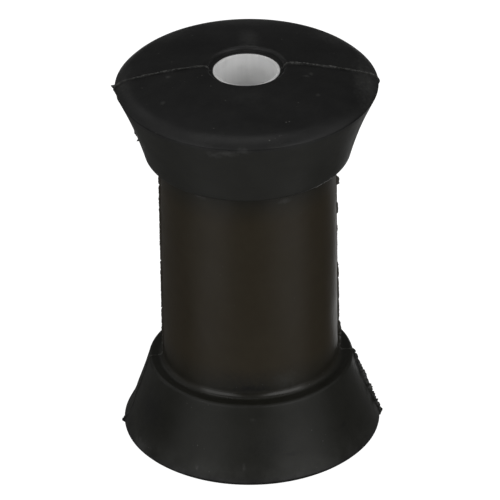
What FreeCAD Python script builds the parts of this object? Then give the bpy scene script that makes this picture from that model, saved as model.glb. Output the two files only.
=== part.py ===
import FreeCAD, Part
import math
import os

import Sketcher
from FreeCAD import Vector

# Keel roller of a boat trailer: a moulded rubber spool with a plastic liner in its bore.
# It stands on one end, with the bore along Z and the middle of its length at the origin.
# The two halves of its mould met in the XZ plane, so the fin of flash lies in that plane.

# Driving sizes in millimetres: name, value, what it measures
SIZES = [
    ("overall_length", 116.0, "from land to land, over the mouths of the bore"),
    ("rim_diameter", 70.0, "largest diameter, over the rims"),
    ("rim_round", 0.5, "small rounding of the rim's edge"),
    ("crown_radius", 124.0, "spherical radius of the domed ends"),
    ("roll_width", 4.0, "from the rim inwards to where the crown starts to roll over"),
    ("roll_radius", 7.8, "rounding that rolls the crown over to the rim's edge"),
    ("flare_length", 19.5, "along the axis, from the widest place of the rim to the shoulder"),
    ("flare_radius", 150.0, "how hollow the flare is, as the radius of its outline"),
    ("barrel_diameter", 47.4, "straight barrel that carries the keel"),
    ("shoulder_width", 4.0, "radial step from the barrel out to the flare's lip"),
    ("recess_diameter", 21.4, "shallow recess in each end, round the mouth of the bore"),
    ("recess_depth", 1.3, "from the land down to the floor of the recess"),
    ("recess_break", 0.5, "edge taken off the recess where it meets the land"),
    ("land_width", 1.2, "flat ring round each recess, measured from the recess's wall"),
    ("foot_round", 2.8, "hollow rounding between barrel and shoulder"),
    ("lip_break", 0.4, "edge taken off the flare's lip"),
    ("mouth_break", 0.3, "edge taken off the rubber at the mouths of the bore"),
    ("shaft_bore", 16.5, "inside diameter of the liner, for a 16 mm shaft"),
    ("liner_wall", 0.75, "wall of the liner"),
    ("liner_fit", 0.02, "radial gap between liner and rubber"),
    ("liner_drop", 0.1, "from the recess's floor down to the end of the liner"),
    ("fin_height", 0.7, "how far the flash stands out from the rubber all round"),
    ("fin_thickness", 0.5, "thickness of the flash"),
    ("fin_root", 0.5, "how far the flash is rooted in the rubber"),
    ("tip_height", 1.35, "how far the longest tips of the flash stand out from the rims"),
    ("tip_width", 1.2, "length of such a tip, along the roller's axis"),
    ("torn_below_rim", 1.2, "flash left standing below the widest place of a torn side's rim"),
    ("torn_past_lip", 1.5, "how far a tear runs on past the shoulder, along the barrel"),
]

# Places of the spool's outline, worked out from the driving sizes
HALF_LENGTH = "(Sizes.overall_length / 2)"
LINER_RADIUS = "(Sizes.shaft_bore / 2 + Sizes.liner_wall)"
BORE_RADIUS = f"({LINER_RADIUS} + Sizes.liner_fit)"
RECESS_RADIUS = "(Sizes.recess_diameter / 2)"
RECESS_FLOOR = f"({HALF_LENGTH} - Sizes.recess_depth)"
LAND_RADIUS = f"({RECESS_RADIUS} + Sizes.land_width)"
BARREL_RADIUS = "(Sizes.barrel_diameter / 2)"
LIP_RADIUS = f"({BARREL_RADIUS} + Sizes.shoulder_width)"
CROWN_CENTRE = f"({HALF_LENGTH} - sqrt(Sizes.crown_radius ^ 2 - {LAND_RADIUS} ^ 2))"
ROLL_START = "(Sizes.rim_diameter / 2 - Sizes.roll_width)"
ROLL_CENTRE_RADIUS = f"({ROLL_START} * (1 - Sizes.roll_radius / Sizes.crown_radius))"
ROLL_RISE = f"sqrt((Sizes.crown_radius - Sizes.roll_radius) ^ 2 - {ROLL_CENTRE_RADIUS} ^ 2)"
RIM_CENTRE_RADIUS = "(Sizes.rim_diameter / 2 - Sizes.rim_round)"
RIM_ACROSS = f"({RIM_CENTRE_RADIUS} - {ROLL_CENTRE_RADIUS})"
RIM_RISE = f"sqrt((Sizes.roll_radius - Sizes.rim_round) ^ 2 - {RIM_ACROSS} ^ 2)"
RIM_HEIGHT = f"({CROWN_CENTRE} + {ROLL_RISE} + {RIM_RISE})"
SHOULDER_HEIGHT = f"({RIM_HEIGHT} - Sizes.flare_length)"

# The rubber's half-section, right of the axis
RUBBER_OUTLINE = {
    "half_length": HALF_LENGTH,
    "inner_radius": BORE_RADIUS,
    "roll_centre_radius": ROLL_CENTRE_RADIUS,
    "roll_radius": "Sizes.roll_radius",
    "rim_centre_radius": RIM_CENTRE_RADIUS,
    "rim_round": "Sizes.rim_round",
    "flare_radius": "Sizes.flare_radius",
    "lip_radius": LIP_RADIUS,
    "barrel_radius": BARREL_RADIUS,
    "shoulder_height": SHOULDER_HEIGHT,
    "crown_centre": CROWN_CENTRE,
    "crown_radius": "Sizes.crown_radius",
}

# The flash follows the rubber's outline, raised off it
FIN_OUTLINE = {
    "half_length": f"{HALF_LENGTH} + Sizes.fin_height",
    "inner_radius": f"{LAND_RADIUS} - Sizes.fin_root",
    "roll_centre_radius": ROLL_CENTRE_RADIUS,
    "roll_radius": "Sizes.roll_radius + Sizes.fin_height",
    "rim_centre_radius": RIM_CENTRE_RADIUS,
    "rim_round": "Sizes.rim_round + Sizes.fin_height",
    "flare_radius": "Sizes.flare_radius - Sizes.fin_height",
    "lip_radius": f"{LIP_RADIUS} + Sizes.fin_height",
    "barrel_radius": f"{BARREL_RADIUS} + Sizes.fin_height",
    "shoulder_height": f"{SHOULDER_HEIGHT} - Sizes.fin_height",
    "crown_centre": CROWN_CENTRE,
    "crown_radius": "Sizes.crown_radius + Sizes.fin_height",
}

# Tips of flash that were left longer, at two of the rims seen from the front
TIP_INNER = "(Sizes.rim_diameter / 2 - Sizes.fin_root)"
TIP_OUTER = "(Sizes.rim_diameter / 2 + Sizes.tip_height)"
TIP_LOW = f"({RIM_HEIGHT} - Sizes.tip_width / 2)"
TIP_HIGH = f"({RIM_HEIGHT} + Sizes.tip_width / 2)"
LONG_TIPS = {
    "top_left": (f"-{TIP_OUTER}", f"-{TIP_INNER}", TIP_LOW, TIP_HIGH),
    "low_right": (TIP_INNER, TIP_OUTER, f"-{TIP_HIGH}", f"-{TIP_LOW}"),
}

# Where the flash is gone, seen from the front: a tear takes it off a whole flare, and what stood
# under the lower land was pressed flat by the roller's weight
TEAR_INNER = f"({BARREL_RADIUS} - Sizes.fin_root)"
TEAR_OUTER = "(Sizes.rim_diameter / 2 + 2 * Sizes.tip_height)"
TEAR_NEAR = f"({SHOULDER_HEIGHT} - Sizes.torn_past_lip)"
TEAR_FAR = f"({RIM_HEIGHT} - Sizes.torn_below_rim)"
FOOT_FLOOR = f"-({HALF_LENGTH} + 2 * Sizes.fin_height)"
BARE_PLACES = {
    "top_right": (TEAR_INNER, TEAR_OUTER, TEAR_NEAR, TEAR_FAR),
    "top_left": (f"-{TEAR_OUTER}", f"-{TEAR_INNER}", TEAR_NEAR, TEAR_FAR),
    "low_left": (f"-{TEAR_OUTER}", f"-{TEAR_INNER}", f"-{TEAR_FAR}", f"-{TEAR_NEAR}"),
    "under_foot": (f"-{TEAR_OUTER}", TEAR_OUTER, FOOT_FLOOR, f"-{HALF_LENGTH}"),
}

# The recesses of both ends, as turned: inner and outer radius, floor and open side
RECESS_INNER = f"({BORE_RADIUS} - Sizes.liner_wall)"
RECESS_OPEN = f"({HALF_LENGTH} + Sizes.recess_depth)"
RECESSES = {
    "top_recess": (RECESS_INNER, RECESS_RADIUS, RECESS_FLOOR, RECESS_OPEN),
    "low_recess": (RECESS_INNER, RECESS_RADIUS, f"-{RECESS_OPEN}", f"-{RECESS_FLOOR}"),
}

# Two places closer than this are one and the same
SAME_PLACE = 1e-4

# A sketch's own axes and origin, and the ends of an edge in a constraint
X_AXIS, Y_AXIS = range(-1, -3, -1)
START, END, CENTRE = range(1, 4)
ORIGIN = (X_AXIS, START)

# Edges of a half-section, in the order in which they are drawn, from the bore outwards
(
    INNER_WALL,
    TOP_LAND,
    TOP_CROWN,
    TOP_ROLL,
    TOP_RIM,
    TOP_FLARE,
    TOP_SHOULDER,
    BARREL,
    LOW_SHOULDER,
    LOW_FLARE,
    LOW_RIM,
    LOW_ROLL,
    LOW_CROWN,
    LOW_LAND,
) = range(14)

# Edge ends that meet at a corner, and those that run on into each other
MEETING_ENDS = [
    (INNER_WALL, END, TOP_LAND, START),
    (TOP_LAND, END, TOP_CROWN, END),
    (TOP_FLARE, END, TOP_SHOULDER, START),
    (TOP_SHOULDER, END, BARREL, START),
    (BARREL, END, LOW_SHOULDER, START),
    (LOW_SHOULDER, END, LOW_FLARE, START),
    (LOW_FLARE, END, LOW_RIM, END),
    (LOW_RIM, START, LOW_ROLL, END),
    (LOW_ROLL, START, LOW_CROWN, END),
    (LOW_CROWN, START, LOW_LAND, START),
    (LOW_LAND, END, INNER_WALL, START),
]
SMOOTH_ENDS = [
    (TOP_CROWN, START, TOP_ROLL, END),
    (TOP_ROLL, START, TOP_RIM, END),
    (TOP_RIM, START, TOP_FLARE, START),
]

# Places and curves of the upper end, each with its mirror image at the lower end
MIRRORED_ENDS = [
    (INNER_WALL, END, INNER_WALL, START),
    (TOP_LAND, END, LOW_LAND, START),
    (TOP_ROLL, END, LOW_ROLL, START),
    (TOP_RIM, END, LOW_RIM, START),
    (TOP_RIM, START, LOW_RIM, END),
    (TOP_FLARE, END, LOW_FLARE, START),
    (BARREL, START, BARREL, END),
]
MIRRORED_CURVES = [
    (TOP_CROWN, LOW_CROWN),
    (TOP_ROLL, LOW_ROLL),
    (TOP_RIM, LOW_RIM),
    (TOP_FLARE, LOW_FLARE),
]

doc = FreeCAD.newDocument("boat_trailer_roller")


def make_sheet():
    """The sheet of driving sizes, one row each: name, value, meaning."""
    sheet = doc.addObject("Spreadsheet::Sheet", "Sizes")
    for row, (alias, value, meaning) in enumerate(SIZES, start=1):
        sheet.set(f"A{row}", alias)
        sheet.set(f"B{row}", str(value))
        sheet.set(f"C{row}", meaning)
        sheet.setAlias(f"B{row}", alias)
    doc.recompute()
    return sheet


def new_body(name):
    """A sub-part's body, whose label names its file."""
    body = doc.addObject("PartDesign::Body", f"{name}_piece")
    body.Label = name
    body.Placement = FreeCAD.Placement()
    return body


def origin_feature(body, role):
    """The body's own origin plane or axis of that role."""
    return next(item for item in body.Origin.OriginFeatures if item.Role == role)


def new_sketch(body, name, plane):
    """An empty sketch on one of the body's own origin planes."""
    sketch = body.newObject("Sketcher::SketchObject", name)
    sketch.AttachmentSupport = [(origin_feature(body, plane), "")]
    sketch.MapMode = "FlatFace"
    return sketch


def tie(sketch, name, expression, kind, *where):
    """Adds a named dimension at its worked-out value and binds it to the sheet."""
    value = sketch.evalExpression(expression)
    index = sketch.addConstraint(Sketcher.Constraint(kind, *where, float(value)))
    sketch.renameConstraint(index, name)
    sketch.setExpression(f"Constraints.{name}", expression)


def polar(centre, radius, angle):
    """The place at that angle on a circle."""
    return Vector(centre.x + radius * math.cos(angle), centre.y + radius * math.sin(angle), 0)


def bearing(start, end):
    """The angle of the line from one place to another."""
    return math.atan2(end.y - start.y, end.x - start.x)


def below(place):
    """The mirror image of a place in the lower end."""
    return Vector(place.x, -place.y, 0)


def arc_rise(reach, across):
    """How far a place stands above a centre that it is reach away from, when it is across aside."""
    return math.sqrt(reach**2 - across**2)


def reached_place(first, first_reach, last, last_reach):
    """The place at both reaches from two others, right of the line from first to last."""
    span = first.distanceToPoint(last)
    along = (span**2 + first_reach**2 - last_reach**2) / (2 * span)
    return polar(first, first_reach, bearing(first, last) - math.acos(along / first_reach))


def arc(centre, radius, first, last):
    """The arc that runs anticlockwise from its first place to its last."""
    circle = Part.Circle(centre, Vector(0, 0, 1), radius)
    return Part.ArcOfCircle(circle, bearing(centre, first), bearing(centre, last))


def draw_half_section(body, name, outline):
    """A spool's closed half-section on the XZ plane, its lower end a mirror of its upper."""
    sketch = new_sketch(body, name, "XZ_Plane")
    at = {place: float(sketch.evalExpression(text)) for place, text in outline.items()}

    # Places of the upper end as drawn, before the constraints hold them
    crown_centre = Vector(0, at["crown_centre"], 0)
    crown_drop = at["half_length"] - at["crown_centre"]
    inner = Vector(at["inner_radius"], at["half_length"], 0)
    land = Vector(arc_rise(at["crown_radius"], crown_drop), at["half_length"], 0)
    roll_rise = arc_rise(at["crown_radius"] - at["roll_radius"], at["roll_centre_radius"])
    roll_centre = Vector(at["roll_centre_radius"], at["crown_centre"] + roll_rise, 0)
    rim_across = at["rim_centre_radius"] - at["roll_centre_radius"]
    rim_rise = arc_rise(at["roll_radius"] - at["rim_round"], rim_across)
    rim_centre = Vector(at["rim_centre_radius"], roll_centre.y + rim_rise, 0)
    lip = Vector(at["lip_radius"], at["shoulder_height"], 0)
    foot = Vector(at["barrel_radius"], at["shoulder_height"], 0)
    crown_end = polar(crown_centre, at["crown_radius"], bearing(crown_centre, roll_centre))
    roll_end = polar(roll_centre, at["roll_radius"], bearing(roll_centre, rim_centre))
    rim_reach = at["flare_radius"] + at["rim_round"]
    flare_centre = reached_place(lip, at["flare_radius"], rim_centre, rim_reach)
    flare_end = polar(rim_centre, at["rim_round"], bearing(rim_centre, flare_centre))

    sketch.addGeometry(
        [
            Part.LineSegment(below(inner), inner),
            Part.LineSegment(inner, land),
            arc(crown_centre, at["crown_radius"], crown_end, land),
            arc(roll_centre, at["roll_radius"], roll_end, crown_end),
            arc(rim_centre, at["rim_round"], flare_end, roll_end),
            arc(flare_centre, at["flare_radius"], flare_end, lip),
            Part.LineSegment(lip, foot),
            Part.LineSegment(foot, below(foot)),
            Part.LineSegment(below(foot), below(lip)),
            arc(below(flare_centre), at["flare_radius"], below(lip), below(flare_end)),
            arc(below(rim_centre), at["rim_round"], below(roll_end), below(flare_end)),
            arc(below(roll_centre), at["roll_radius"], below(crown_end), below(roll_end)),
            arc(below(crown_centre), at["crown_radius"], below(land), below(crown_end)),
            Part.LineSegment(below(land), below(inner)),
        ],
        False,
    )
    for ends in MEETING_ENDS:
        sketch.addConstraint(Sketcher.Constraint("Coincident", *ends))
    for ends in SMOOTH_ENDS:
        sketch.addConstraint(Sketcher.Constraint("Tangent", *ends))
    for ends in MIRRORED_ENDS:
        sketch.addConstraint(Sketcher.Constraint("Symmetric", *ends, X_AXIS))
    for curves in MIRRORED_CURVES:
        sketch.addConstraint(Sketcher.Constraint("Equal", *curves))
    for level_edge in (TOP_LAND, TOP_SHOULDER):
        sketch.addConstraint(Sketcher.Constraint("Horizontal", level_edge))
    sketch.addConstraint(Sketcher.Constraint("PointOnObject", TOP_CROWN, CENTRE, Y_AXIS))

    measured = {
        "inner_radius": ("DistanceX", *ORIGIN, INNER_WALL, END),
        "half_length": ("DistanceY", *ORIGIN, INNER_WALL, END),
        "crown_centre": ("DistanceY", *ORIGIN, TOP_CROWN, CENTRE),
        "crown_radius": ("Radius", TOP_CROWN),
        "roll_centre_radius": ("DistanceX", *ORIGIN, TOP_ROLL, CENTRE),
        "roll_radius": ("Radius", TOP_ROLL),
        "rim_centre_radius": ("DistanceX", *ORIGIN, TOP_RIM, CENTRE),
        "rim_round": ("Radius", TOP_RIM),
        "flare_radius": ("Radius", TOP_FLARE),
        "lip_radius": ("DistanceX", *ORIGIN, TOP_FLARE, END),
        "shoulder_height": ("DistanceY", *ORIGIN, TOP_FLARE, END),
        "barrel_radius": ("DistanceX", *ORIGIN, BARREL, START),
    }
    for place, where in measured.items():
        tie(sketch, place, outline[place], *where)
    doc.recompute()
    return sketch


def draw_rectangle(sketch, name, left, right, low, high):
    """A rectangle whose four sides are bound to the sheet."""
    first = sketch.GeometryCount
    x_low, x_high, y_low, y_high = [
        float(sketch.evalExpression(side)) for side in (left, right, low, high)
    ]
    corners = [
        Vector(x_low, y_low, 0),
        Vector(x_high, y_low, 0),
        Vector(x_high, y_high, 0),
        Vector(x_low, y_high, 0),
    ]
    bottom, right_side, top, left_side = range(first, first + len(corners))
    for corner, following in zip(corners, corners[1:] + corners[:1]):
        sketch.addGeometry(Part.LineSegment(corner, following), False)
    for edge, following in (
        (bottom, right_side),
        (right_side, top),
        (top, left_side),
        (left_side, bottom),
    ):
        sketch.addConstraint(Sketcher.Constraint("Coincident", edge, END, following, START))
    for edge in (bottom, top):
        sketch.addConstraint(Sketcher.Constraint("Horizontal", edge))
    for edge in (right_side, left_side):
        sketch.addConstraint(Sketcher.Constraint("Vertical", edge))
    tie(sketch, f"{name}_left", left, "DistanceX", *ORIGIN, bottom, START)
    tie(sketch, f"{name}_low", low, "DistanceY", *ORIGIN, bottom, START)
    tie(sketch, f"{name}_right", right, "DistanceX", *ORIGIN, top, START)
    tie(sketch, f"{name}_high", high, "DistanceY", *ORIGIN, top, START)


def ring_edges(feature, radius, height):
    """The two circular edges of that radius, at that height above and below the middle."""
    names = []
    for number, edge in enumerate(feature.Shape.Edges, start=1):
        curve = edge.Curve
        if not isinstance(curve, Part.Circle):
            continue
        same_radius = abs(curve.Radius - radius) < SAME_PLACE
        same_height = abs(abs(curve.Center.z) - height) < SAME_PLACE
        if same_radius and same_height:
            names.append(f"Edge{number}")
    return names


def dress_rings(body, kind, name, corner, amount):
    """Rounds or breaks one corner of the turned outline, at both ends of the spool."""
    base = body.Tip
    radius, height = [float(base.evalExpression(text)) for text in corner]
    dressing = body.newObject(f"PartDesign::{kind}", name)
    dressing.Base = (base, ring_edges(base, radius, height))
    dressing.setExpression({"Fillet": "Radius", "Chamfer": "Size"}[kind], amount)
    doc.recompute()
    return dressing


def make_flash():
    """The fins of flash that the mould's parting line left, as far as they still stand."""
    body = new_body("flash")
    outline = draw_half_section(body, "FinSection", FIN_OUTLINE)
    fin = body.newObject("PartDesign::Pad", "Fin")
    fin.Profile = outline
    fin.SideType = "Symmetric"
    fin.setExpression("Length", "Sizes.fin_thickness")
    doc.recompute()

    both_fins = body.newObject("PartDesign::Mirrored", "BothFins")
    both_fins.Originals = [fin]
    both_fins.MirrorPlane = (origin_feature(body, "YZ_Plane"), [""])
    body.Tip = both_fins
    doc.recompute()

    tip_sections = new_sketch(body, "TipSections", "XZ_Plane")
    for name, sides in LONG_TIPS.items():
        draw_rectangle(tip_sections, name, *sides)
    long_tips = body.newObject("PartDesign::Pad", "LongTips")
    long_tips.Profile = tip_sections
    long_tips.SideType = "Symmetric"
    long_tips.setExpression("Length", "Sizes.fin_thickness")
    doc.recompute()

    tears = new_sketch(body, "BarePlaces", "XZ_Plane")
    for name, sides in BARE_PLACES.items():
        draw_rectangle(tears, name, *sides)
    torn_off = body.newObject("PartDesign::Pocket", "TornOff")
    torn_off.Profile = tears
    torn_off.SideType = "Symmetric"
    torn_off.Type = "ThroughAll"
    doc.recompute()
    return body


def make_roller_body():
    """Rubber spool, moulded in one piece with its flash."""
    body = new_body("roller_body")
    section = draw_half_section(body, "RubberSection", RUBBER_OUTLINE)
    spool = body.newObject("PartDesign::Revolution", "Spool")
    spool.Profile = section
    spool.ReferenceAxis = (section, ["V_Axis"])
    spool.Angle = 360
    doc.recompute()

    recess_sections = new_sketch(body, "RecessSections", "XZ_Plane")
    for name, sides in RECESSES.items():
        draw_rectangle(recess_sections, name, *sides)
    recesses = body.newObject("PartDesign::Groove", "Recesses")
    recesses.Profile = recess_sections
    recesses.ReferenceAxis = (recess_sections, ["V_Axis"])
    recesses.Angle = 360
    doc.recompute()

    foot, lip = (BARREL_RADIUS, SHOULDER_HEIGHT), (LIP_RADIUS, SHOULDER_HEIGHT)
    mouth, recess_edge = (BORE_RADIUS, RECESS_FLOOR), (RECESS_RADIUS, HALF_LENGTH)
    dress_rings(body, "Fillet", "FootRound", foot, "Sizes.foot_round")
    dress_rings(body, "Chamfer", "LipBreak", lip, "Sizes.lip_break")
    dress_rings(body, "Chamfer", "RecessBreak", recess_edge, "Sizes.recess_break")
    dress_rings(body, "Chamfer", "MouthBreak", mouth, "Sizes.mouth_break")

    with_flash = body.newObject("PartDesign::Boolean", "WithFlash")
    with_flash.Type = "Fuse"
    with_flash.setObjects([make_flash()])
    body.Tip = with_flash
    doc.recompute()
    return body


def make_bore_liner():
    """Plastic tube, cut to length and held in the rubber along the whole bore."""
    body = new_body("bore_liner")
    ring = new_sketch(body, "LinerRing", "XY_Plane")
    for edge, (name, radius) in enumerate(
        [("inner_radius", "Sizes.shaft_bore / 2"), ("outer_radius", LINER_RADIUS)]
    ):
        drawn = float(ring.evalExpression(radius))
        ring.addGeometry(Part.Circle(Vector(0, 0, 0), Vector(0, 0, 1), drawn), False)
        ring.addConstraint(Sketcher.Constraint("Coincident", edge, CENTRE, *ORIGIN))
        tie(ring, name, radius, "Radius", edge)
    tube = body.newObject("PartDesign::Pad", "Tube")
    tube.Profile = ring
    tube.SideType = "Symmetric"
    tube.setExpression("Length", f"2 * ({RECESS_FLOOR} - Sizes.liner_drop)")
    doc.recompute()
    return body


def check_document(pieces):
    """Stops unless every object is sound and every piece is one valid solid."""
    for item in doc.Objects:
        if "Invalid" in item.State or "Error" in item.State:
            raise RuntimeError(f"{item.Name} failed: {item.State}")
    for piece in pieces:
        if piece.Shape.isNull() or not piece.Shape.isValid():
            raise RuntimeError(f"{piece.Label} has no valid shape")
        if len(piece.Shape.Solids) != 1:
            raise RuntimeError(f"{piece.Label} isn't one solid")


make_sheet()
roller_pieces = [make_roller_body(), make_bore_liner()]
doc.recompute()
check_document(roller_pieces)

os.makedirs("parts", exist_ok=True)
for roller_piece in roller_pieces:
    roller_piece.Shape.exportStep(os.path.join("parts", f"{roller_piece.Label}.step"))
    box = roller_piece.Shape.optimalBoundingBox(False, False)
    print(
        f"{roller_piece.Label}: {roller_piece.Shape.Volume:.1f} mm3,"
        f" {box.XLength:.2f} x {box.YLength:.2f} x {box.ZLength:.2f} mm"
    )
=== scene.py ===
import math
import random

import bmesh
import bpy
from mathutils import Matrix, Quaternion, Vector, kdtree, noise


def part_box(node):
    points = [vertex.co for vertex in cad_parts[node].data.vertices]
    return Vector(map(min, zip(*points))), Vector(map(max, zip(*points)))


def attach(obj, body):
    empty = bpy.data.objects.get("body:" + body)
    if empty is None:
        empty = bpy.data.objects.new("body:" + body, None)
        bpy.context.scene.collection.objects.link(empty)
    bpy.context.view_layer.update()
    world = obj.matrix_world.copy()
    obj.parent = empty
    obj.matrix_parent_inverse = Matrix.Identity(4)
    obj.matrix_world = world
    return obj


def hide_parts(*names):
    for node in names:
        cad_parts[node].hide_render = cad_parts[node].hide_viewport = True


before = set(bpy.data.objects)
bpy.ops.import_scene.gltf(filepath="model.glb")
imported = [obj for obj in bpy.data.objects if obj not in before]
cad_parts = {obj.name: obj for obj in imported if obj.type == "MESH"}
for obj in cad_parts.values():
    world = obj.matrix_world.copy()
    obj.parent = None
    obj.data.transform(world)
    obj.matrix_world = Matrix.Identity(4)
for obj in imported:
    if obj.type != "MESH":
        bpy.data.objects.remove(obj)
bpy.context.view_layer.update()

# Rubber body: one moulding of black rubber, with two domed ends on slightly hollow flares and a
# straight barrel between them. It was pressed in a mould whose two turned halves met in the XZ
# plane, and the rubber that crept between them was torn off as a ragged fin.
MM = 0.001
same_place = 0.001 * MM
rubber_low, rubber_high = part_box("roller_body")
liner_low, liner_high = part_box("bore_liner")

half_length = -rubber_low.z
box_margin = 0.01 * MM
rim_radius = rubber_high.y - box_margin
rim_round = 0.5 * MM
crown_radius = 124 * MM
roll_width = 4.0 * MM
roll_start = rim_radius - roll_width
roll_radius = 7.8 * MM
flare_length = 20.1 * MM
flare_radius = 120 * MM
barrel_radius = 23.7 * MM
shoulder_width = 3.95 * MM
lip_radius = barrel_radius + shoulder_width
foot_round = 1.8 * MM
lip_round = 0.8 * MM
liner_clearance = 0.02 * MM
bore_radius = liner_high.x + liner_clearance
recess_radius = 10.2 * MM
recess_depth = 1.3 * MM
recess_round = 1.05 * MM
floor_round = 0.2 * MM
mouth_round = 0.3 * MM
land_width = 1.7 * MM
land_radius = recess_radius + land_width
round_segments = 240

# Centres and corners of the half-section, each as radius and height
crown_centre = Vector((0, half_length - math.sqrt(crown_radius**2 - land_radius**2)))
roll_centre = Vector((roll_start * (1 - roll_radius / crown_radius), 0))
roll_centre.y = crown_centre.y + math.sqrt((crown_radius - roll_radius) ** 2 - roll_centre.x**2)
rim_centre = Vector((rim_radius - rim_round, 0))
rim_centre.y = roll_centre.y + math.sqrt(
    (roll_radius - rim_round) ** 2 - (rim_centre.x - roll_centre.x) ** 2
)
shoulder_height = rim_centre.y - flare_length
shoulder = Vector((barrel_radius, shoulder_height))
lip = Vector((lip_radius, shoulder_height))
land_edge = Vector((land_radius, half_length))
recess_edge = Vector((recess_radius, half_length))
recess_floor = Vector((recess_radius, half_length - recess_depth))
mouth = Vector((bore_radius, recess_floor.y))


def bearing(place, other):
    """The angle of the way from one place to another, both as radius and height."""
    return math.atan2(other.y - place.y, other.x - place.x)


def polar(centre, reach, angle):
    """The place at that reach and angle from a centre."""
    return centre + reach * Vector((math.cos(angle), math.sin(angle)))


def arc_places(centre, reach, first, last, steps):
    """Places along an arc, with both its ends."""
    return [polar(centre, reach, first + (last - first) * step / steps) for step in range(steps + 1)]


# The hollow flare's centre lies outside, where the arcs through the lip and along the rim meet
rim_reach = flare_radius + rim_round
lip_to_rim = (rim_centre - lip).length
along = (lip_to_rim**2 + flare_radius**2 - rim_reach**2) / (2 * lip_to_rim)
flare_centre = polar(lip, flare_radius, bearing(lip, rim_centre) - math.acos(along / flare_radius))

# The sharp corner that the rim would have without its small rounding
flare_normal = bearing(rim_centre, flare_centre)
roll_normal = bearing(roll_centre, rim_centre)
half_turn = (roll_normal - flare_normal) / 2
rim_corner = polar(rim_centre, rim_round / math.cos(half_turn), flare_normal + half_turn)


def edit(piece, mode):
    """Opens one piece alone in edit mode, with nothing of it selected."""
    bpy.ops.object.select_all(action="DESELECT")
    bpy.context.view_layer.objects.active = piece
    piece.select_set(True)
    bpy.ops.object.mode_set(mode="EDIT")
    bpy.ops.mesh.select_mode(type=mode)
    bpy.ops.mesh.select_all(action="DESELECT")


def finish_edit():
    """Closes the piece that was open for editing."""
    bpy.ops.object.mode_set(mode="OBJECT")


def select_faces(piece, wanted):
    """Selects the faces whose middle passes the test, in a piece that is open for editing."""
    bpy.ops.mesh.select_all(action="DESELECT")
    mesh = bmesh.from_edit_mesh(piece.data)
    for face in mesh.faces:
        if wanted(face.calc_center_median()):
            face.select_set(True)
    bmesh.update_edit_mesh(piece.data)


def select_edges(piece, wanted):
    """Selects the edges that pass the test, in a piece that is open for editing."""
    bpy.ops.mesh.select_all(action="DESELECT")
    mesh = bmesh.from_edit_mesh(piece.data)
    for edge in mesh.edges:
        if wanted(edge):
            edge.select_set(True)
    bmesh.update_edit_mesh(piece.data)


ring_tolerance = 0.01 * MM


def on_ring(radius, height):
    """A test for the edges of the ring at that radius and height."""

    def close(vertex):
        past_ring = abs(vertex.co.xy.length - radius)
        past_level = abs(vertex.co.z - height)
        return max(past_ring, past_level) < ring_tolerance

    return lambda edge: all(close(vertex) for vertex in edge.verts)


bpy.ops.object.select_all(action="DESELECT")
bpy.ops.mesh.primitive_cylinder_add(
    vertices=round_segments,
    radius=barrel_radius,
    depth=shoulder_height,
    location=(0, 0, shoulder_height / 2),
)
rubber = bpy.context.object
rubber.name = rubber.data.name = "moulded_rubber"
bpy.ops.object.transform_apply(location=True)

# The upper half grows out of the barrel's end, ring by ring: shoulder, flare, crown, recess, bore
flare_places = arc_places(
    flare_centre, flare_radius, bearing(flare_centre, lip), bearing(flare_centre, rim_centre), steps=8
)
crown_normal = bearing(crown_centre, roll_centre)
roll_places = arc_places(roll_centre, roll_radius, roll_normal, crown_normal, steps=7)
crown_places = arc_places(
    crown_centre, crown_radius, crown_normal, bearing(crown_centre, land_edge), steps=12
)
rings = [
    *flare_places[:-1],
    rim_corner,
    *roll_places[1:],
    *crown_places[1:],
    recess_edge,
    recess_floor,
    mouth,
    Vector((bore_radius, 0)),
]

edit(rubber, "FACE")
select_faces(rubber, lambda middle: middle.xy.length < MM and abs(middle.z) < MM)
bpy.ops.mesh.delete(type="FACE")
select_faces(rubber, lambda middle: middle.xy.length < MM and middle.z > shoulder_height - MM)
place = shoulder
for ring in rings:
    bpy.ops.mesh.extrude_region_move(TRANSFORM_OT_translate={"value": (0, 0, ring.y - place.y)})
    scale = ring.x / place.x
    bpy.ops.transform.resize(value=(scale, scale, 1), center_override=(0, 0, ring.y))
    place = ring
bpy.ops.mesh.delete(type="FACE")

# The corners are rounded as the mould's cutters left them
bpy.ops.mesh.select_mode(type="EDGE")
for ring, amount, segments in (
    (rim_corner, rim_round * math.tan(half_turn), 6),
    (shoulder, foot_round, 10),
    (lip, lip_round, 6),
    (recess_edge, recess_round, 6),
    (recess_floor, floor_round, 2),
    (mouth, mouth_round, 3),
):
    select_edges(rubber, on_ring(*ring))
    bpy.ops.mesh.bevel(offset=amount, segments=segments, affect="EDGES", clamp_overlap=False)
finish_edit()

# The lower half is the mirror image of the upper
bpy.ops.object.modifier_add(type="MIRROR")
mirror = rubber.modifiers[-1]
mirror.use_axis = (False, False, True)
mirror.use_clip = True
mirror.merge_threshold = same_place
bpy.ops.object.modifier_apply(modifier=mirror.name)

# A strip is cut out along the parting line and divided into short rows for the fin of flash
fin_half_thickness = 0.22 * MM
fin_row_length = 0.3 * MM
cut_reach = 2 * MM
strip_start = bore_radius + 0.5 * MM
past_bore = bore_radius + 0.1 * MM

edit(rubber, "FACE")
for cut in (fin_half_thickness, -fin_half_thickness):
    select_faces(rubber, lambda middle: abs(middle.y) < cut_reach and abs(middle.x) > strip_start)
    bpy.ops.mesh.bisect(plane_co=(0, cut, 0), plane_no=(0, 1, 0))


def in_strip(edge):
    """Whether an edge runs along the strip, between its two cuts or on one of them."""
    first, last = (vertex.co for vertex in edge.verts)
    along_strip = abs(first.y - last.y) < same_place
    outside = min(abs(first.x), abs(last.x)) > past_bore
    return along_strip and outside and abs(first.y) < 1.1 * fin_half_thickness


def rows_wanted(edge):
    """How many rows an edge of the strip is long."""
    return round(edge.calc_length() / fin_row_length)


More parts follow.
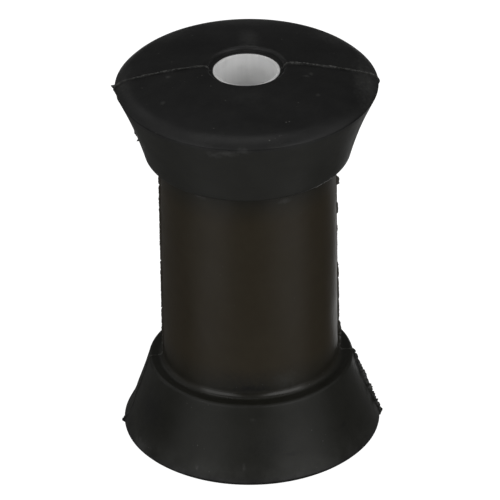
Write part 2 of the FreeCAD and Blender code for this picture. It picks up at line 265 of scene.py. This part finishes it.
bpy.ops.mesh.select_mode(type="EDGE")
mesh = bmesh.from_edit_mesh(rubber.data)
row_counts = sorted({rows_wanted(edge) for edge in mesh.edges if in_strip(edge)})
for rows in row_counts:
    if rows > 1:
        select_edges(rubber, lambda edge: in_strip(edge) and rows_wanted(edge) == rows)
        bpy.ops.mesh.subdivide(number_cuts=rows - 1)
finish_edit()

# Beside the flash the top rim bulges a little, and the bottom flare is a little hollow on the
# left. After the side, in millimetres: furthest bulge, reach to the front and to the back, height,
# and reach up and down.
bulge_start = 28 * MM
bulge_fade = 4 * MM

edit(rubber, "EDGE")
mesh = bmesh.from_edit_mesh(rubber.data)
for side, *bulge_sizes in (
    (-1, 0.4, 3, 14, 52, 6),
    (1, 0.36, 13, 13, 52, 6),
    (-1, -0.55, 14, 14, -48, 3),
):
    bulge, front_reach, back_reach, bulge_height, height_reach = [size * MM for size in bulge_sizes]
    for vertex in mesh.verts:
        reach = front_reach if vertex.co.y < 0 else back_reach
        share = math.exp(-((vertex.co.y / reach) ** 2))
        share *= math.exp(-(((vertex.co.z - bulge_height) / height_reach) ** 2))
        share *= max(0, min(1, (side * vertex.co.x - bulge_start) / bulge_fade))
        vertex.co.x += side * bulge * share
bmesh.update_edit_mesh(rubber.data)
finish_edit()

# How far the fin stands out along each side's outline, from the top recess down to the bottom
# land: radius and height of a place on the rubber, and the fin's height there, all in millimetres.
# The height beside the lip is on the flare.
rim_z = rim_centre.y / MM
beside_lip_z = rim_z - 19.5
land_z = half_length / MM
barrel_r = barrel_radius / MM
fin_right = [
    (9.8, land_z - 1.3, 0.25),
    (10.2, land_z - 0.6, 0.35),
    (11.3, land_z, 0.7),
    (20.0, land_z - 1.0, 0.5),
    (31.0, land_z - 3.5, 0.45),
    (34.3, rim_z + 0.9, 0.75),
    (34.8, rim_z + 0.4, 0.45),
    (35.0, rim_z - 0.1, 0.3),
    (34.6, rim_z - 1.1, 0.35),
    (34.0, rim_z - 2.4, 0.1),
    (27.9, beside_lip_z, 0.08),
    (barrel_r, beside_lip_z - 2.8, 0.2),
    (barrel_r, 28.0, 0.4),
    (barrel_r, 24.5, 0.45),
    (barrel_r, 24.0, 0.1),
    (barrel_r, 23.2, 0.1),
    (barrel_r, 22.8, 0.8),
    (barrel_r, 20.4, 0.8),
    (barrel_r, 20.0, 0.15),
    (barrel_r, 15.1, 0.15),
    (barrel_r, 14.4, 0.4),
    (barrel_r, 11.7, 0.5),
    (barrel_r, 11.1, 0.1),
    (barrel_r, 7.7, 0.1),
    (barrel_r, 7.1, 0.3),
    (barrel_r, 6.0, 0.3),
    (barrel_r, 5.5, 0.15),
    (barrel_r, -3.8, 0.12),
    (barrel_r, -4.6, 0.45),
    (barrel_r, -22.5, 0.5),
    (barrel_r, -23.8, 0.9),
    (barrel_r, -30.0, 0.85),
    (barrel_r, -30.4, 0.5),
    (24.6, -31.8, 0.12),
    (26.5, -31.9, 0.12),
    (27.9, -beside_lip_z, 0.7),
    (28.8, -beside_lip_z - 3.0, 0.85),
    (29.6, -beside_lip_z - 5.6, 0.95),
    (29.9, -beside_lip_z - 6.2, 1.05),
    (30.9, -beside_lip_z - 9.4, 1.1),
    (31.2, -beside_lip_z - 10.2, 0.9),
    (31.4, -beside_lip_z - 10.9, 0.95),
    (31.55, -beside_lip_z - 11.2, 1.3),
    (32.2, -beside_lip_z - 12.8, 1.15),
    (32.5, -beside_lip_z - 13.4, 0.8),
    (32.6, -beside_lip_z - 13.7, 1.3),
    (33.1, -beside_lip_z - 15.0, 1.0),
    (33.4, -beside_lip_z - 15.7, 0.75),
    (33.6, -beside_lip_z - 16.0, 1.1),
    (34.7, 0.9 - rim_z, 0.7),
    (35.0, 0.2 - rim_z, 1.0),
    (35.0, -rim_z - 0.3, 0.75),
    (34.6, -rim_z - 0.7, 1.0),
    (34.3, -rim_z - 1.0, 1.0),
    (34.1, -rim_z - 1.2, 0.3),
    (31.0, 3.5 - land_z, 0.3),
    (15.0, 0.5 - land_z, 0.2),
]
fin_left = [
    (9.8, land_z - 1.3, 0.2),
    (10.2, land_z - 0.6, 0.3),
    (11.3, land_z, 0.4),
    (20.0, land_z - 1.0, 0.5),
    (31.0, land_z - 3.5, 0.4),
    (34.3, rim_z + 0.9, 0.5),
    (35.0, rim_z + 0.3, 1.25),
    (35.1, rim_z + 0.1, 0.3),
    (34.4, rim_z - 1.5, 0.3),
    (33.6, rim_z - 3.1, 0.65),
    (33.2, rim_z - 4.2, 0.5),
    (32.6, rim_z - 5.6, 0.5),
    (32.4, rim_z - 6.1, 0.1),
    (30.6, rim_z - 11.0, 0.45),
    (29.6, rim_z - 13.9, 0.6),
    (29.2, rim_z - 15.3, 0.25),
    (29.0, rim_z - 15.75, 1.1),
    (28.9, rim_z - 16.1, 0.2),
    (27.9, beside_lip_z, 0.06),
    (barrel_r, beside_lip_z - 2.8, 0.3),
    (barrel_r, beside_lip_z - 5.0, 0.45),
    (barrel_r, -12.0, 0.45),
    (barrel_r, -30.0, 0.45),
    (24.6, -31.8, 0.12),
    (26.5, -31.9, 0.12),
    (27.9, -beside_lip_z, 0.25),
    (31.5, -43.0, 0.25),
    (32.2, -45.0, 0.08),
    (34.0, 2.5 - rim_z, 0.1),
    (35.0, 0.3 - rim_z, 0.6),
    (34.6, -rim_z - 0.8, 0.5),
    (34.2, -rim_z - 1.2, 0.3),
    (31.0, 3.5 - land_z, 0.3),
    (15.0, 0.5 - land_z, 0.2),
]
fin_least = 0.04 * MM
fin_taper = 0.55
fin_lean = 0.35
fin_middle_rise = 0.06 * MM
whitened_height = 1.2 * MM

# The bottom end has no fin nearer the bore than this, so that the roller stands on its land alone
bottom_fin_end = 15 * MM
bottom_end_top = 3 * MM - recess_floor.y

# How ragged the fin is: waves per metre and their share of its height, what chance adds at each
# row, and how often a nick is torn out and how much of the height it leaves
slow_waves = 450
slow_share = 0.22
quick_waves = 1500
quick_share = 0.25
lean_waves = 400
row_share = 0.1
nick_chance = 0.04
least_left = 0.35
most_left = 0.7


def outline_rows(side):
    """Places of the strip's rows on one side, from the recess down, with their way outwards."""
    mesh = bmesh.from_edit_mesh(rubber.data)
    line = {
        vertex
        for vertex in mesh.verts
        if abs(vertex.co.y) < same_place and side * vertex.co.x > past_bore
    }
    # Of the two ends of the line, both nearest the bore, the upper one comes first
    vertex = min(line, key=lambda vertex: abs(vertex.co.x) - vertex.co.z * 0.01)
    rows = []
    while vertex:
        line.discard(vertex)
        outwards = Vector((vertex.normal.x, 0, vertex.normal.z)).normalized()
        rows.append((vertex.co.copy(), outwards))
        following = [edge.other_vert(vertex) for edge in vertex.link_edges]
        vertex = next((other for other in following if other in line), None)
    return rows


def finder_of(rows):
    """A finder of the row that is nearest to a place."""
    finder = kdtree.KDTree(len(rows))
    for number, (place, _) in enumerate(rows):
        finder.insert(place, number)
    finder.balance()
    return finder


def fin_heights(side, rows, finder, stations, seed):
    """The ragged height of the fin at each row."""
    chance = random.Random(seed)
    along = [0.0]
    for (place, _), (following, _) in zip(rows, rows[1:]):
        along.append(along[-1] + (following - place).length)
    known = []
    for radius, height, fin in stations:
        nearest = finder.find(Vector((side * radius, 0, height)) * MM)[1]
        known.append((along[nearest], fin * MM))
    heights = []
    for distance in along:
        height = known[0][1] if distance < known[0][0] else known[-1][1]
        for (start, low), (end, high) in zip(known, known[1:]):
            if start <= distance <= end:
                height = low + (high - low) * (distance - start) / max(end - start, same_place)
                break
        slow = noise.noise(Vector((distance * slow_waves, seed, 0)))
        quick = noise.noise(Vector((distance * quick_waves, seed, 5)))
        height *= 1 + slow_share * slow + quick_share * quick + chance.uniform(-row_share, row_share)
        if chance.random() < nick_chance:
            height *= chance.uniform(least_left, most_left)
        heights.append(max(height, fin_least))
    return heights


edit(rubber, "FACE")
mesh = bmesh.from_edit_mesh(rubber.data)
mesh.verts.layers.float.new("torn_edge")
bmesh.update_edit_mesh(rubber.data)
for side, stations, seed in ((1, fin_right, 3), (-1, fin_left, 8)):
    rows = outline_rows(side)
    finder = finder_of(rows)
    heights = fin_heights(side, rows, finder, stations, seed)
    select_faces(
        rubber,
        lambda middle: abs(middle.y) < fin_half_thickness
        and side * middle.x > strip_start
        and (side * middle.x > bottom_fin_end or middle.z > bottom_end_top),
    )
    bpy.ops.mesh.extrude_region_move()
    mesh = bmesh.from_edit_mesh(rubber.data)
    torn_edge = mesh.verts.layers.float["torn_edge"]
    for vertex in mesh.verts:
        if not vertex.select:
            continue
        number = finder.find(vertex.co * Vector((1, 0, 1)))[1]
        place, outwards = rows[number]
        height = heights[number]
        lean = fin_lean * noise.noise(place * lean_waves + Vector((seed, 0, 0)))
        middle_rise = fin_middle_rise if abs(vertex.co.y) < same_place else 0
        vertex.co.y = vertex.co.y * fin_taper + lean * height
        vertex.co += outwards * (height + middle_rise)
        vertex.co.z = max(rubber_low.z, min(rubber_high.z, vertex.co.z))
        vertex.co.x = side * min(side * vertex.co.x, rubber_high.x)
        vertex[torn_edge] = min(1.0, height / whitened_height)
    bmesh.update_edit_mesh(rubber.data)
bpy.ops.mesh.select_all(action="SELECT")
bpy.ops.mesh.normals_make_consistent(inside=False)
finish_edit()
smooth_angle = math.radians(35)
bpy.ops.object.shade_smooth_by_angle(angle=smooth_angle)


def add_node(tree, kind, given, **settings):
    """Adds a node with its settings; what is given to an input is a value or another's output."""
    node = tree.nodes.new(kind)
    for setting, value in settings.items():
        setattr(node, setting, value)
    for name, value in given.items():
        if isinstance(value, bpy.types.NodeSocket):
            tree.links.new(value, node.inputs[name])
        else:
            node.inputs[name].default_value = value
    return node


def add_noise(tree, place, scale, detail):
    """Noise with features one over scale metres across."""
    given = {"Vector": place, "Scale": scale, "Detail": detail, "Roughness": 0.55}
    return add_node(tree, "ShaderNodeTexNoise", given).outputs["Fac"]


def spread(tree, value, low, high, to_low=0.0, to_high=1.0):
    """Spreads a value's range from low to high over another range, held at both ends."""
    given = {
        "Value": value,
        "From Min": low,
        "From Max": high,
        "To Min": to_low,
        "To Max": to_high,
    }
    return add_node(tree, "ShaderNodeMapRange", given).outputs["Result"]


def calculate(tree, operation, first, second=0.0):
    """The result of a calculation with one or two numbers."""
    given = {0: first, 1: second}
    return add_node(tree, "ShaderNodeMath", given, operation=operation).outputs[0]


def calculate_vector(tree, operation, first, second=(0, 0, 0)):
    """The outputs of a calculation with vectors: Vector, and Value for a length."""
    given = {0: first, 1: second}
    return add_node(tree, "ShaderNodeVectorMath", given, operation=operation).outputs


def blend(tree, share, first, second):
    """The second colour over the first, by its share."""
    given = {0: share, 6: first, 7: second}
    return add_node(tree, "ShaderNodeMix", given, data_type="RGBA").outputs[2]


def new_group(name, inputs, outputs):
    """A node group that gives numbers, and the sockets of its two end nodes."""
    group = bpy.data.node_groups.new(name, "ShaderNodeTree")
    for socket, kind in inputs.items():
        group.interface.new_socket(socket, in_out="INPUT", socket_type=kind)
    for socket in outputs:
        group.interface.new_socket(socket, in_out="OUTPUT", socket_type="NodeSocketFloat")
    taken = group.nodes.new("NodeGroupInput").outputs
    returned = group.nodes.new("NodeGroupOutput").inputs
    return group, taken, returned


# Dust lies as a thin film and as single grains on what faces up, and little on the sides
dust_group, taken, returned = new_group(
    "settled dust", {"Amount": "NodeSocketFloat"}, ["Film", "Grains"]
)
place = add_node(dust_group, "ShaderNodeTexCoord", {}).outputs["Object"]
facing = add_node(dust_group, "ShaderNodeNewGeometry", {}).outputs["Normal"]
facing = add_node(dust_group, "ShaderNodeSeparateXYZ", {"Vector": facing}).outputs["Z"]
lying = spread(dust_group, facing, -0.1, 0.9, 0.15, 1.0)
film = calculate(
    dust_group,
    "MULTIPLY",
    spread(dust_group, add_noise(dust_group, place, 120, 5.0), 0.42, 0.7),
    spread(dust_group, add_noise(dust_group, place, 1400, 2.0), 0.35, 0.75),
)
grain = add_node(dust_group, "ShaderNodeTexVoronoi", {"Vector": place, "Scale": 700.0})
grains = calculate(
    dust_group,
    "MULTIPLY",
    spread(dust_group, grain.outputs["Distance"], 0.16, 0.08),
    spread(dust_group, add_noise(dust_group, place, 330, 1.0), 0.6, 0.68),
)
for socket, mask in (("Film", film), ("Grains", grains)):
    mask = calculate(dust_group, "MULTIPLY", mask, lying)
    mask = calculate(dust_group, "MULTIPLY", mask, taken["Amount"])
    dust_group.links.new(mask, returned[socket])

# A soft patch with a broken edge, around a place on the surface, used for handling marks and for
# painted highlights and shade
mark_group, taken, returned = new_group(
    "marks and painted light", {"Centre": "NodeSocketVector", "Reach": "NodeSocketVector"}, ["Mask"]
)
place = add_node(mark_group, "ShaderNodeTexCoord", {}).outputs["Object"]
offset = calculate_vector(mark_group, "SUBTRACT", place, taken["Centre"])["Vector"]
offset = calculate_vector(mark_group, "DIVIDE", offset, taken["Reach"])["Vector"]
distance = calculate_vector(mark_group, "LENGTH", offset)["Value"]
broken = spread(mark_group, add_noise(mark_group, place, 900, 4.0), 0.3, 0.7, -0.35, 0.35)
distance = calculate(mark_group, "ADD", distance, broken)
mark_group.links.new(spread(mark_group, distance, 1.0, 0.1), returned["Mask"])

# Where the marks are, in millimetres: middle, reach along each axis, and strength
pale_marks_and_highlights = [
    # End face: painted highlights on the back of the dome and along the rim where light falls, a
    # faint pale patch in front of the mouth, and specks and a short curved line
    ((1.3, 15.6, 57.6), (3.4, 8.5, 3), 0.32),
    ((-2.0, -15.2, 57.6), (8, 5, 3), 0.12),
    ((32.0, -4.0, 53.6), (4.5, 17, 4), 0.38),
    ((25.0, 21.0, 53.6), (9, 9, 4), 0.35),
    ((2.0, 31.0, 54.2), (19, 6, 4), 0.32),
    ((-21.0, 25.5, 53.6), (9, 8, 4), 0.4),
    ((-33.0, 2.0, 53.2), (4, 12, 3), 0.22),
    ((-13.5, -31.0, 53.4), (7, 4, 1.6), 0.12),
    ((-21.0, -2.7, 56.7), (0.8, 0.9, 0.8), 0.55),
    ((-22.8, -14.6, 55.6), (0.8, 1.0, 0.8), 0.5),
    ((15.7, -5.8, 57.4), (1.3, 0.6, 0.6), 0.4),
    ((17.1, -4.5, 57.3), (0.6, 1.2, 0.6), 0.4),
    ((18.5, -14.3, 56.4), (0.8, 0.8, 0.8), 0.35),
    # Upper flare: a scuff below the rim
    ((-10.0, -32.4, 49.5), (2.8, 2.5, 1.5), 0.45),
    ((-6.3, -33.6, 50.4), (3.6, 2.5, 1.5), 0.55),
    ((-2.3, -34.4, 51.6), (2.6, 2.5, 1.2), 0.45),
    # Barrel: painted highlights under the upper flare, where the reflected bands start, and one above
    # the foot on the shining crescent
    ((-13.5, -19.5, 29.3), (2.6, 2.5, 0.9), 0.45),
    ((9.1, -21.9, 28.5), (2.3, 2, 1.0), 0.45),
    ((8.8, -22.0, -27.5), (4.5, 3, 3.5), 0.22),
    # Lower flare: painted reflection along the right limb beside the torn flash
    ((29.4, -1.8, -36.0), (1.8, 3.2, 3.4), 0.7),
    ((31.0, -1.8, -40.5), (1.6, 2.8, 3.2), 0.8),
    ((32.6, -1.8, -45.0), (1.6, 2.8, 3.2), 1.0),
    ((34.1, -1.8, -49.5), (1.7, 3.2, 3.4), 1.0),
    # Lower flare: rubbed near the rim, with two ticks, and a spot below the lip
    ((-30.5, -15.5, -51.0), (6, 6, 2.2), 0.6),
    ((-21.5, -27.8, -52.2), (6, 5, 2.0), 0.4),
    ((-16.0, -29.9, -49.5), (0.8, 1.5, 1.2), 0.5),
    ((-3.4, -33.2, -48.2), (0.7, 1.5, 1.3), 0.45),
    ((11.7, -32.6, -51.0), (4, 3, 1.8), 0.35),
    ((-0.6, -28.8, -35.7), (1.0, 1.5, 0.7), 0.3),
]
dark_marks_and_shade = [
    # Barrel: painted shade at its foot, most of all in front
    ((-3.0, -22.0, -28.0), (12, 7, 5), 0.4),
    ((-1.0, -23.7, -29.0), (7, 3, 1.9), 0.9),
    # End face: painted shade on the rear on both sides, and on the left
    ((-14.6, 14.0, 56.9), (15, 10, 6), 0.6),
    ((16.2, 12.0, 56.9), (14, 10, 6), 0.55),
    ((-27.0, -8.0, 55.0), (8, 9, 5), 0.45),
    # Lower flare: a smudge with a scratch, a spot, and painted shade on the left flank
    ((9.5, -30.8, -45.6), (3.4, 2.5, 0.7), 0.7),
    ((24.1, -20.1, -43.4), (1.6, 1.8, 1.0), 0.5),
    ((4.0, -30.5, -42.5), (7, 4, 4.5), 0.3),
    ((-28.0, -13.0, -41.0), (6, 9, 7), 0.6),
]


def strongest(tree, marks):
    """The strongest of the marks at each place."""
    result = 0.0
    for centre, reach, strength in marks:
        mark = add_node(tree, "ShaderNodeGroup", {}, node_tree=mark_group)
        mark.inputs["Centre"].default_value = Vector(centre) * MM
        mark.inputs["Reach"].default_value = Vector(reach) * MM
        mask = calculate(tree, "MULTIPLY", mark.outputs["Mask"], strength)
        result = calculate(tree, "MAXIMUM", result, mask)
    return result


# Where the rubber's look changes: from one height, or distance from the middle, to another. Only
# the rubbed rim is on the lower end alone.
face_edge_heights = (52 * MM, 50.5 * MM)
bloom_heights = (29.5 * MM, 22 * MM)
bloom_end_heights = (32 * MM, 31 * MM)
rim_rub_heights = (-46 * MM, -53 * MM)
shine_start_heights = (29.6 * MM, 30.4 * MM)
shine_end_heights = (31.95 * MM, 31.8 * MM)
shine_sides = (15 * MM, 12.5 * MM)

# The dark and pale colours serve real marks and also painted shade and painted highlights
dark_and_shade_colour = (0.003, 0.003, 0.003, 1)
pale_and_highlight_colour = (0.07, 0.07, 0.067, 1)
film_colour = (0.05, 0.05, 0.047, 1)
grain_colour = (0.11, 0.108, 0.1, 1)
whitened_colour = (0.17, 0.17, 0.163, 1)

# Rubber: black and semi-matt, greyer on the flares, with a faint brown bloom on the barrel
rubber_material = bpy.data.materials.new("black moulded rubber")
rubber_material.use_nodes = True
tree = rubber_material.node_tree
shader = tree.nodes["Principled BSDF"]
shader.inputs["Specular IOR Level"].default_value = 0.34
shader.inputs["Coat Roughness"].default_value = 0.2
place = add_node(tree, "ShaderNodeTexCoord", {}).outputs["Object"]
parts = add_node(tree, "ShaderNodeSeparateXYZ", {"Vector": place}).outputs
height = calculate(tree, "ABSOLUTE", parts["Z"])
blotches = add_noise(tree, place, 90, 4.0)
smears = add_noise(tree, place, 260, 5.0)
mottling = calculate(tree, "ADD", spread(tree, blotches, 0.3, 0.7), spread(tree, smears, 0.35, 0.65))
mottling = calculate(tree, "MULTIPLY", mottling, 0.5)
face_black = blend(tree, mottling, (0.0075, 0.0075, 0.0075, 1), (0.0125, 0.0125, 0.012, 1))
flare_black = blend(tree, mottling, (0.0105, 0.0105, 0.0075, 1), (0.0155, 0.0155, 0.012, 1))
barrel_brown = blend(tree, mottling, (0.025, 0.0178, 0.0075, 1), (0.03, 0.0225, 0.0105, 1))
colour = blend(tree, spread(tree, height, *face_edge_heights), face_black, flare_black)
bloom = spread(tree, height, *bloom_heights, 0.25, 1.0)
bloom = calculate(tree, "MULTIPLY", bloom, spread(tree, height, *bloom_end_heights))
colour = blend(tree, bloom, colour, barrel_brown)

# Handling marks, painted highlights and painted shade, the lower rim's rubbing all round, and dust
# lie over the black
rim_rub = spread(tree, parts["Z"], *rim_rub_heights, 0.0, 0.3)
rim_rub = calculate(tree, "MULTIPLY", rim_rub, spread(tree, smears, 0.3, 0.6))
pale = calculate(tree, "MAXIMUM", strongest(tree, pale_marks_and_highlights), rim_rub)
colour = blend(tree, strongest(tree, dark_marks_and_shade), colour, dark_and_shade_colour)
colour = blend(tree, pale, colour, pale_and_highlight_colour)
dust = add_node(tree, "ShaderNodeGroup", {}, node_tree=dust_group)
dust.inputs["Amount"].default_value = 1.0
film = calculate(tree, "MULTIPLY", dust.outputs["Film"], 0.12)
colour = blend(tree, film, colour, film_colour)
colour = blend(tree, dust.outputs["Grains"], colour, grain_colour)

# The flash is whitened and crumbly where it stands high
torn = add_node(tree, "ShaderNodeAttribute", {}, attribute_name="torn_edge").outputs["Fac"]
crumbs = spread(tree, add_noise(tree, place, 1300, 3.0), 0.42, 0.6, 0.15, 1.0)
whitened = calculate(tree, "MULTIPLY", spread(tree, torn, 0.0, 0.8), crumbs)
colour = blend(tree, whitened, colour, whitened_colour)
tree.links.new(colour, shader.inputs["Base Color"])

# The rounding at the barrel's foot is smoother and shines in front, and torn flash is dull
shine = calculate(
    tree,
    "MULTIPLY",
    spread(tree, height, *shine_start_heights),
    spread(tree, height, *shine_end_heights),
)
across = calculate(tree, "ABSOLUTE", parts["X"])
shine = calculate(tree, "MULTIPLY", shine, spread(tree, across, *shine_sides))
tree.links.new(calculate(tree, "MULTIPLY", shine, 0.35), shader.inputs["Coat Weight"])
dullness = spread(tree, blotches, 0.3, 0.7, 0.38, 0.5)
dullness = calculate(tree, "SUBTRACT", dullness, calculate(tree, "MULTIPLY", shine, 0.14))
dullness = calculate(tree, "MAXIMUM", dullness, spread(tree, torn, 0.0, 0.4, 0.0, 0.7))
tree.links.new(dullness, shader.inputs["Roughness"])
grain_height = calculate(
    tree,
    "ADD",
    calculate(tree, "MULTIPLY", add_noise(tree, place, 2200, 2.0), 0.6),
    add_noise(tree, place, 450, 2.0),
)
bump = add_node(
    tree, "ShaderNodeBump", {"Height": grain_height, "Strength": 0.35, "Distance": 0.05 * MM}
)
tree.links.new(bump.outputs["Normal"], shader.inputs["Normal"])
rubber.data.materials.append(rubber_material)

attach(rubber, "root")
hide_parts("roller_body")

# Liner tube: a thin-walled tube of white plastic, extruded, cut to length and pressed into the
# bore, where the shaft turns in it. Its cut ends aren't quite even.
liner_wall = 0.75 * MM
liner_break = 0.1 * MM
liner_segments = 128
cut_unevenness = 0.06 * MM
cut_waves = 160

bpy.ops.object.select_all(action="DESELECT")
bpy.ops.mesh.primitive_cylinder_add(
    vertices=liner_segments, radius=liner_high.x, depth=liner_high.z - liner_low.z, location=(0, 0, 0)
)
liner = bpy.context.object
liner.name = liner.data.name = "liner_tube"
edit(liner, "FACE")
select_faces(liner, lambda middle: middle.xy.length < MM)
bpy.ops.mesh.inset(thickness=liner_wall)
bpy.ops.mesh.bridge_edge_loops()
bpy.ops.mesh.select_mode(type="EDGE")
select_edges(
    liner,
    lambda edge: abs(edge.verts[0].co.z - edge.verts[1].co.z) < MM
    and abs(edge.verts[0].co.xy.length - edge.verts[1].co.xy.length) < ring_tolerance,
)
bpy.ops.mesh.bevel(offset=liner_break, segments=2, affect="EDGES")
mesh = bmesh.from_edit_mesh(liner.data)
for vertex in mesh.verts:
    end = 1 if vertex.co.z > 0 else -1
    if abs(vertex.co.z) > liner_high.z - MM:
        wave = noise.noise(Vector((vertex.co.x * cut_waves, vertex.co.y * cut_waves, end * 3)))
        vertex.co.z -= end * cut_unevenness * (1 + wave)
bmesh.update_edit_mesh(liner.data)
bpy.ops.mesh.select_all(action="SELECT")
bpy.ops.mesh.normals_make_consistent(inside=False)
finish_edit()
bpy.ops.object.shade_smooth_by_angle(angle=smooth_angle)

# White plastic, streaked along the tube as it was drawn out, with painted shade making it greyer deep
# inside the bore, and some grime
light_white = (0.96, 0.96, 0.955, 1)
streak_white = (0.91, 0.91, 0.905, 1)
deep_shade_white = (0.64, 0.64, 0.635, 1)
grime_colour = (0.55, 0.545, 0.53, 1)
deep_shade_heights = (54 * MM, 40 * MM)
streak_stretch = 0.04

liner_material = bpy.data.materials.new("white extruded plastic")
liner_material.use_nodes = True
tree = liner_material.node_tree
shader = tree.nodes["Principled BSDF"]
place = add_node(tree, "ShaderNodeTexCoord", {}).outputs["Object"]
drawn_out = calculate_vector(tree, "MULTIPLY", place, (1, 1, streak_stretch))["Vector"]
streaks = add_noise(tree, drawn_out, 700, 3.0)
clouds = add_noise(tree, place, 150, 3.0)
height = add_node(tree, "ShaderNodeSeparateXYZ", {"Vector": place}).outputs["Z"]
height = calculate(tree, "ABSOLUTE", height)
colour = blend(tree, spread(tree, streaks, 0.3, 0.7), streak_white, light_white)
# Painted shade: greyer deeper in the bore, where less light reaches
colour = blend(tree, spread(tree, height, *deep_shade_heights, 0.0, 0.9), colour, deep_shade_white)
grime = calculate(tree, "MULTIPLY", spread(tree, clouds, 0.5, 0.75), 0.35)
colour = blend(tree, grime, colour, grime_colour)
tree.links.new(colour, shader.inputs["Base Color"])
tree.links.new(spread(tree, streaks, 0.3, 0.7, 0.42, 0.55), shader.inputs["Roughness"])
bump = add_node(tree, "ShaderNodeBump", {"Height": streaks, "Strength": 0.25, "Distance": 0.03 * MM})
tree.links.new(bump.outputs["Normal"], shader.inputs["Normal"])
liner.data.materials.append(liner_material)

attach(liner, "root")
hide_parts("bore_liner")

# Studio: a pale floor that is white to the camera, two large soft boxes in front on the left and
# the right, weak ones above and beside the roller, and bright cards on the floor that light it from
# below and mirror in its sides.
floor_size = 8
bpy.ops.object.select_all(action="DESELECT")
bpy.ops.mesh.primitive_plane_add(size=floor_size, location=(0, 0, rubber_low.z))
floor = bpy.context.object
floor.name = "floor"
floor_material = bpy.data.materials.new("pale floor")
floor_material.use_nodes = True
tree = floor_material.node_tree
shader = tree.nodes["Principled BSDF"]
shader.inputs["Base Color"].default_value = (0.2, 0.2, 0.2, 1)
shader.inputs["Roughness"].default_value = 0.9
shader.inputs["Specular IOR Level"].default_value = 0.0
shader.inputs["Emission Strength"].default_value = 1.05
seen = add_node(tree, "ShaderNodeLightPath", {}).outputs["Is Camera Ray"]
tree.links.new(blend(tree, seen, (0, 0, 0, 1), (1, 1, 1, 1)), shader.inputs["Emission Color"])
floor.data.materials.append(floor_material)

box_distance = 1.2
card_height = rubber_low.z + 0.2 * MM


def direction(azimuth, elevation):
    """The way from the roller at that azimuth, from the front to the right, and elevation."""
    turn, rise = math.radians(azimuth), math.radians(elevation)
    return Vector(
        (math.sin(turn) * math.cos(rise), -math.cos(turn) * math.cos(rise), math.sin(rise))
    )


def soft_box(name, azimuth, elevation, width, height, power):
    """An area light that faces the roller."""
    away = direction(azimuth, elevation)
    bpy.ops.object.light_add(type="AREA", location=away * box_distance)
    light = bpy.context.object
    light.name = light.data.name = name
    light.rotation_mode = "QUATERNION"
    light.rotation_quaternion = away.to_track_quat("Z", "Y")
    light.data.shape = "RECTANGLE"
    light.data.size, light.data.size_y = width, height
    light.data.energy = power


def floor_card(name, middle, width, depth, power):
    """A bright card on the floor, which lights the roller from below and mirrors in its sides."""
    bpy.ops.object.light_add(type="AREA", location=(*middle, card_height), rotation=(math.pi, 0, 0))
    light = bpy.context.object
    light.name = light.data.name = name
    light.data.shape = "RECTANGLE"
    light.data.size, light.data.size_y = width, depth
    light.data.energy = power
    light.visible_camera = False


# Each soft box: azimuth and elevation in degrees, width and height in metres, and power in watts
soft_box("left_box", -46, 26, 1.0, 1.05, 3.7)
soft_box("right_box", 42, 26, 1.0, 1.05, 4.75)
soft_box("over_box", 0, 90, 0.5, 0.5, 1.35)
soft_box("left_top_box", -90, 66, 0.5, 0.5, 0.5)
soft_box("right_top_box", 90, 66, 0.5, 0.5, 0.3)
soft_box("left_side_box", -110, 12, 0.42, 0.42, 0.4)
soft_box("left_upper_box", -90, 40, 0.5, 0.5, 0.4)
soft_box("left_back_box", -135, 40, 0.5, 0.5, 0.5)
soft_box("right_upper_box", 90, 40, 0.5, 0.5, 0.75)
# Each card: its middle, width and depth in metres, and power in watts
floor_card("front_card", (0, -0.08), 0.12, 0.08, 0.0088)
floor_card("front_left_card", (-0.13, -0.12), 0.14, 0.16, 0.043)
floor_card("front_right_card", (0.13, -0.12), 0.14, 0.16, 0.042)
floor_card("near_right_card", (0.052, 0.02), 0.03, 0.04, 0.0003)
floor_card("back_right_card", (0.045, 0.08), 0.04, 0.08, 0.013)
floor_card("far_right_card", (0.0975, 0.14), 0.065, 0.12, 0.006)
floor_card("back_left_card", (-0.11, 0.09), 0.12, 0.2, 0.0026)
floor_card("far_left_card", (-0.045, 0.18), 0.04, 0.12, 0.011)
floor_card("back_card", (0, 0.5), 0.4, 0.5, 0.25)

# The camera looks from the front and a little from above; its scale is the one at the target
target = Vector((0, 0, 0.568 * MM))
camera_distance = 2170 * MM
camera_azimuth = -1.8
camera_elevation = 30.85
camera_roll = -0.915
pixels_per_metre = 3694
picture_pixels = 500
shift_pixels = 0.74
camera_data = bpy.data.cameras.new("camera")
camera_data.sensor_width = 36
camera_data.lens = pixels_per_metre * camera_distance * camera_data.sensor_width / picture_pixels
camera_data.shift_x = shift_pixels / picture_pixels
camera_data.clip_end = 50
camera = bpy.data.objects.new("camera", camera_data)
bpy.context.scene.collection.objects.link(camera)
toward = direction(camera_azimuth, camera_elevation)
camera.location = target + camera_distance * toward
camera.rotation_mode = "QUATERNION"
camera.rotation_quaternion = (-toward).to_track_quat("-Z", "Y") @ Quaternion(
    (0, 0, 1), math.radians(camera_roll)
)
bpy.context.scene.camera = camera

# A faint, even light from all round
world = bpy.data.worlds.new("studio")
bpy.context.scene.world = world
world.use_nodes = True
background = world.node_tree.nodes["Background"]
background.inputs["Color"].default_value = (1, 1, 1, 1)
background.inputs["Strength"].default_value = 0.076
bpy.context.scene.view_settings.view_transform = "Standard"
